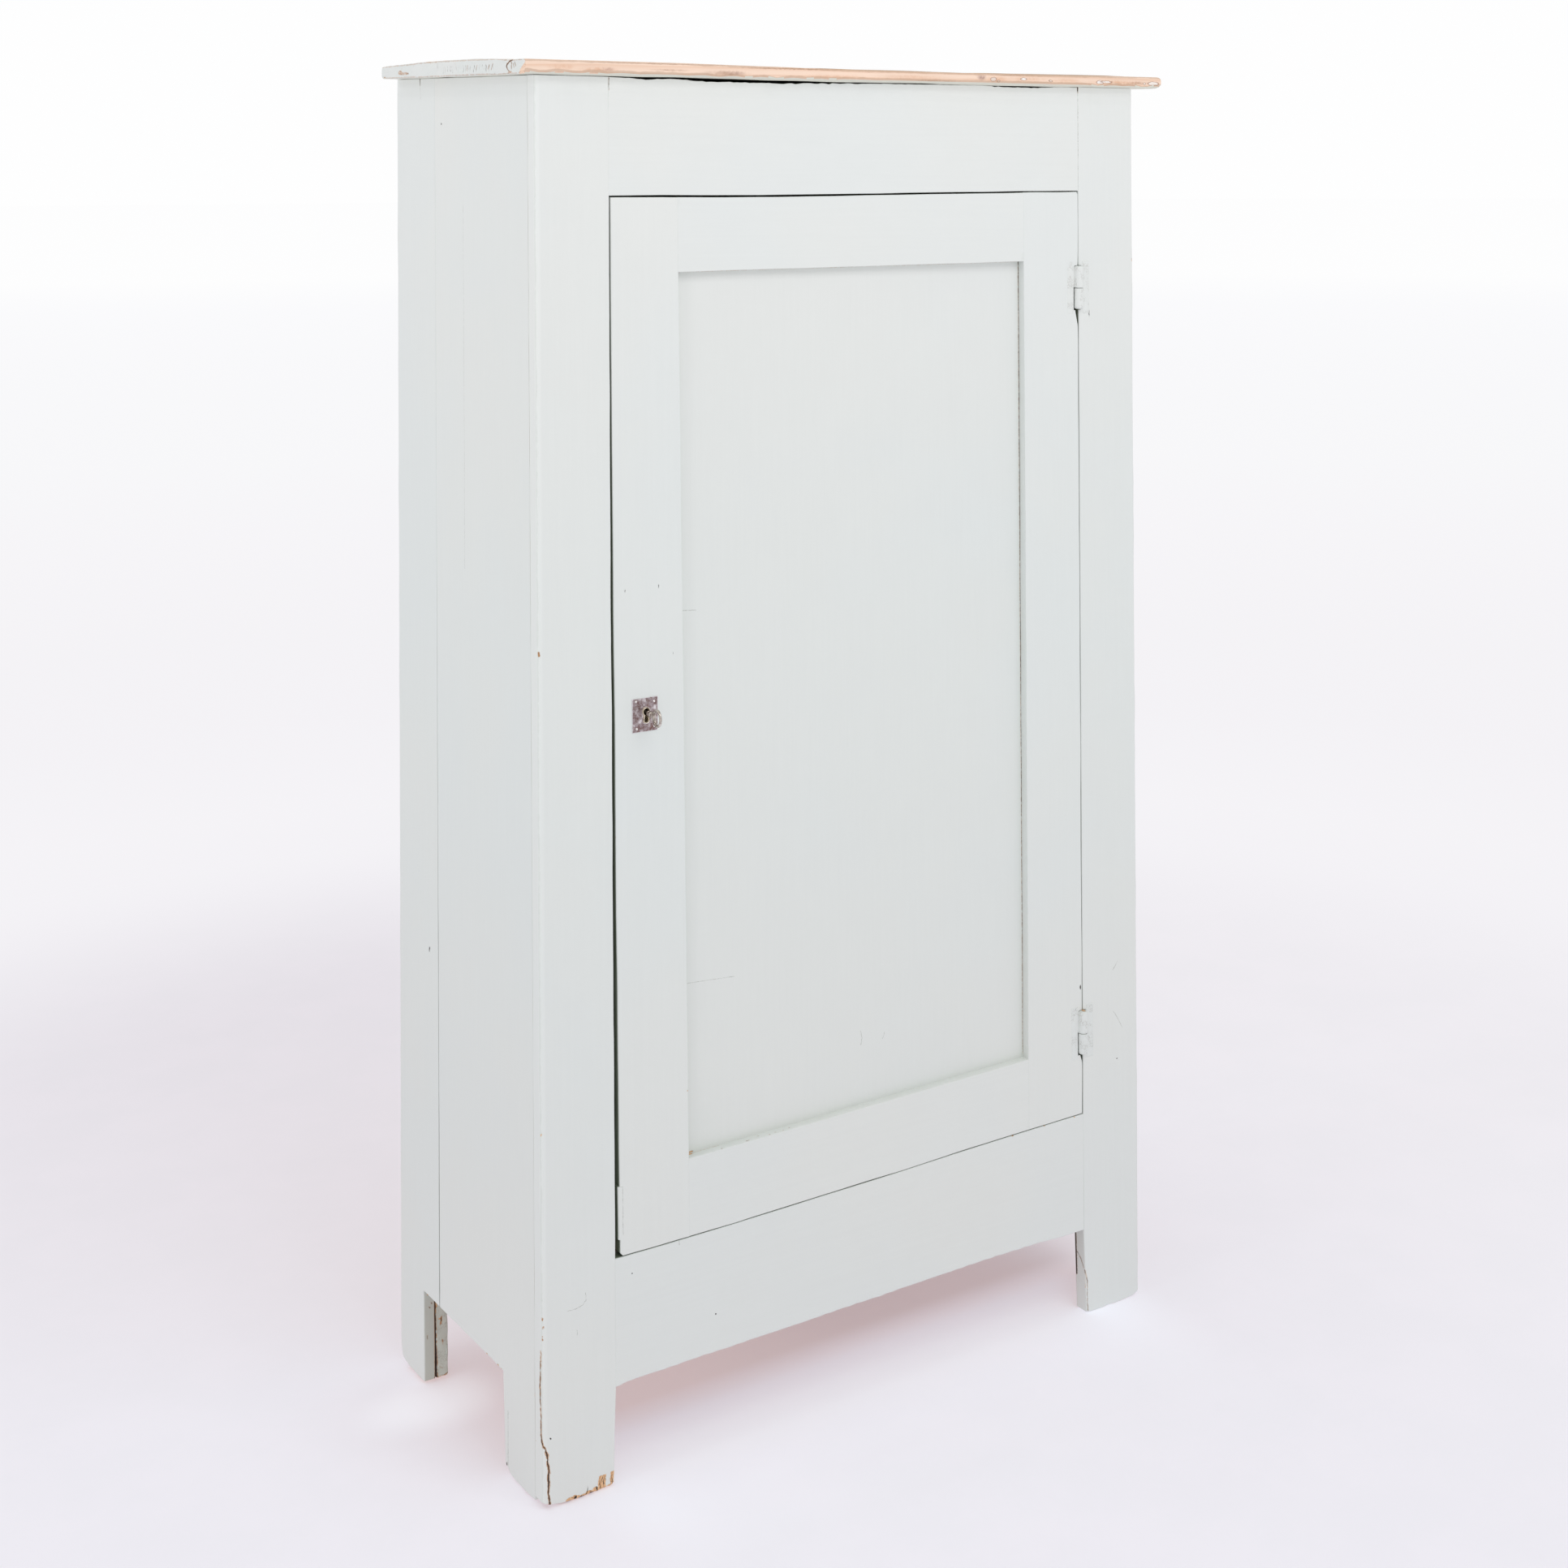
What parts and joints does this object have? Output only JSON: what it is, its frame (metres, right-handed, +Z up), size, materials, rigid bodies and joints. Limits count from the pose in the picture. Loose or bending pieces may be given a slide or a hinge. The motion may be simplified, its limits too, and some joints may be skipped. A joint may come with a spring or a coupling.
{
  "type": "painted pine cupboard",
  "caption": "Tall shallow single-door pine cupboard on sawn legs, with a flat-panel door on lift-off hinges, a rim lock with key, thin overhanging top and loose shelves inside.",
  "frame": {"origin": "centre of the footprint of the bounding box, on the floor", "axes": "+Z up, the door faces -Y, +X to the right as seen from the front"},
  "size_m": [1.036, 0.4678, 1.7798],
  "materials": {
    "painted_pine": "old pale grey-green brushed paint, chipped and rubbed at the arrises",
    "bare_pine": "unpainted sawn and planed pine, dry and slightly grey",
    "top_pine": "pine board, bare along its front edge, thin worn paint elsewhere",
    "painted_iron": "iron hinge under several coats of the same pale paint",
    "aged_iron": "dull brown patinated iron sheet",
    "brass_liner": "rubbed bright brass",
    "bright_key": "bright handled steel, lightly scratched",
    "lock_steel": "dull filed steel"
  },
  "bodies": {
    "carcass": {"front_stile_left": "painted_pine", "front_stile_right": "painted_pine", "frieze_rail": "painted_pine", "bottom_rail": "painted_pine", "side_board_front_left": "painted_pine", "side_board_front_right": "painted_pine", "side_board_rear_left": "painted_pine", "side_board_rear_right": "painted_pine", "rear_foot_block_left": "painted_pine", "rear_foot_block_right": "painted_pine", "floor_bearer_left": "bare_pine", "floor_bearer_right": "bare_pine", "top_cleat_left": "bare_pine", "top_cleat_right": "bare_pine", "floor_board": "bare_pine", "door_stop": "bare_pine", "shelf_cleat_left_1": "bare_pine", "shelf_cleat_left_2": "bare_pine", "shelf_cleat_left_3": "bare_pine", "shelf_cleat_right_1": "bare_pine", "shelf_cleat_right_2": "bare_pine", "shelf_cleat_right_3": "bare_pine", "shelf_1": "bare_pine", "shelf_2": "bare_pine", "shelf_3": "bare_pine", "back_plank_1": "bare_pine", "back_plank_2": "bare_pine", "back_plank_3": "bare_pine", "back_plank_4": "bare_pine", "back_plank_5": "bare_pine", "top_board_front": "top_pine", "top_board_rear": "top_pine", "strike_plate": "aged_iron", "hinge_upper_frame_leaf": "painted_iron", "hinge_lower_frame_leaf": "painted_iron"},
    "door": {"door_stile_left": "painted_pine", "door_stile_right": "painted_pine", "door_top_rail": "painted_pine", "door_bottom_rail": "painted_pine", "door_panel": "painted_pine", "hinge_upper_door_leaf": "painted_iron", "hinge_lower_door_leaf": "painted_iron", "escutcheon_plate": "aged_iron", "keyhole_liner": "brass_liner", "escutcheon_nail_1": "aged_iron", "escutcheon_nail_2": "aged_iron", "escutcheon_nail_3": "aged_iron", "escutcheon_nail_4": "aged_iron", "lock_plate": "aged_iron", "lock_case": "aged_iron", "lock_spring": "lock_steel", "lock_screw_1": "lock_steel", "lock_screw_2": "lock_steel", "lock_screw_3": "lock_steel", "lock_screw_4": "lock_steel"},
    "key": {"key": "bright_key"},
    "lock_bolt": {"lock_bolt": "lock_steel"}
  },
  "joints": [
    {"name": "door_swing", "type": "hinge", "parent": "carcass", "child": "door", "pos_m": [0.3757, -0.19665, 0.95], "axis": [0, 0, 1], "range_deg": [0, 170]},
    {"name": "key_turn", "type": "hinge", "parent": "door", "child": "key", "pos_m": [-0.3413, -0.19515, 0.9573], "axis": [0, 1, 0], "range_deg": [0, 40]},
    {"name": "bolt_throw", "type": "slide", "parent": "door", "child": "lock_bolt", "axis": [-1, 0, 0], "range_m": [0, 0.008]}
  ],
  "couplings": [
    {"joint": "key_turn", "follows": "bolt_throw", "rad_per_m": 87.266}
  ]
}
